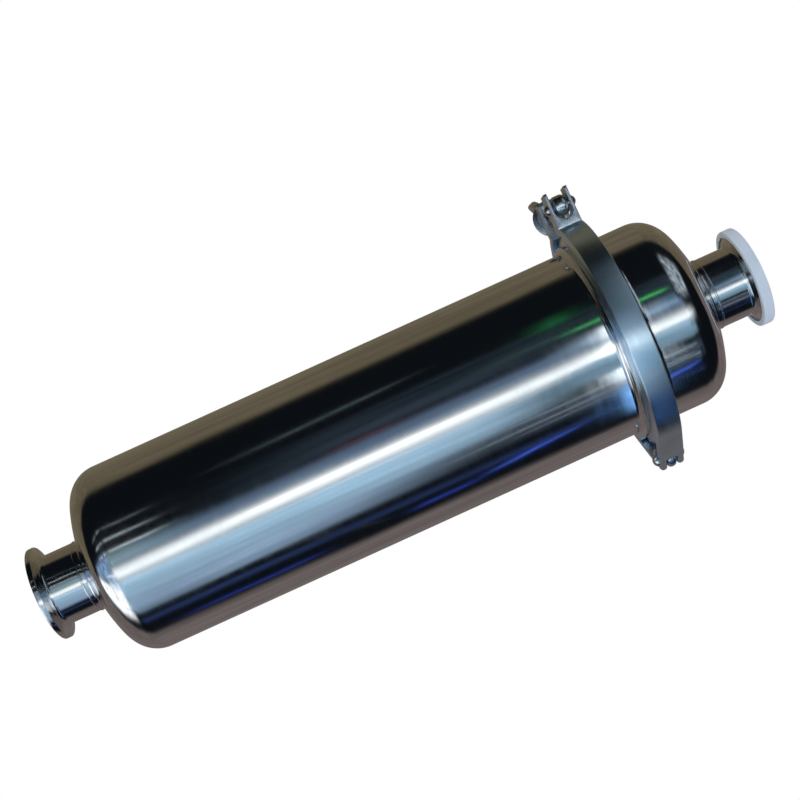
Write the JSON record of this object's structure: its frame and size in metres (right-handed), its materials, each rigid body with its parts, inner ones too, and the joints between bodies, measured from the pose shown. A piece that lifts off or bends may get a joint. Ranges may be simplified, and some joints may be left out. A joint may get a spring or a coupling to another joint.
{
  "type": "inline pipe strainer",
  "caption": "Polished stainless steel inline pipe strainer with clamp ferrule ports, a removable cap held by a hinged band clamp with a wing nut, and a mesh-covered core.",
  "frame": {"origin": "centre of the inlet ferrule's face, on the pipe axis", "axes": "+Z along the pipe axis from the inlet to the outlet, +X towards the clamp's hinge, -X towards its bolt"},
  "size_m": [0.1554, 0.135, 0.4019],
  "materials": {
    "polished_steel": "mirror polished stainless steel",
    "satin_steel": "satin stainless steel",
    "woven_steel": "fine woven stainless steel mesh",
    "clamp_steel": "brushed cast stainless steel",
    "fastener_steel": "bright stainless steel",
    "body_rubber": "white silicone rubber",
    "white_rubber": "bluish white silicone rubber, satin"
  },
  "bodies": {
    "strainer": {"inlet_ferrule": "polished_steel", "barrel_end": "polished_steel", "barrel_tube": "polished_steel", "barrel_clamp_ferrule": "polished_steel", "cap_clamp_ferrule": "polished_steel", "cap_end": "polished_steel", "outlet_ferrule": "polished_steel", "body_gasket": "body_rubber", "outlet_gasket": "white_rubber", "core_ring": "satin_steel", "core_tube": "satin_steel", "core_bottom": "satin_steel", "mesh_sleeve": "woven_steel", "upper_mesh_band": "satin_steel", "lower_mesh_band": "satin_steel", "core_bail": "satin_steel", "clamp_rear_half": "clamp_steel"},
    "front_half": {"clamp_front_half": "clamp_steel", "hinge_pin": "fastener_steel", "bolt_pin": "fastener_steel"},
    "bolt": {"swing_bolt": "fastener_steel"},
    "washer": {"nut_washer": "fastener_steel"},
    "nut": {"wing_nut": "fastener_steel"}
  },
  "joints": [
    {"name": "clamp_hinge", "type": "hinge", "parent": "strainer", "child": "front_half", "pos_m": [0.068, 0, 0.3235], "axis": [0, 0, 1], "range_deg": [0, 3.22]},
    {"name": "bolt_swing", "type": "hinge", "parent": "front_half", "child": "bolt", "pos_m": [-0.0725, -0.0165, 0.3235], "axis": [0, 0, 1], "range_deg": [0, 150]},
    {"name": "nut_travel", "type": "slide", "parent": "bolt", "child": "washer", "axis": [0, 1, 0], "range_m": [0, 0.008]},
    {"name": "wing_turn", "type": "hinge", "parent": "washer", "child": "nut", "pos_m": [-0.0725, 0.03, 0.3235], "axis": [0, 1, 0], "range_deg": [0, 2300]}
  ],
  "couplings": [
    {"joint": "nut_travel", "follows": "wing_turn", "m_per_rad": 0.00019894},
    {"joint": "clamp_hinge", "follows": "wing_turn", "ratio": 0.0013961}
  ]
}
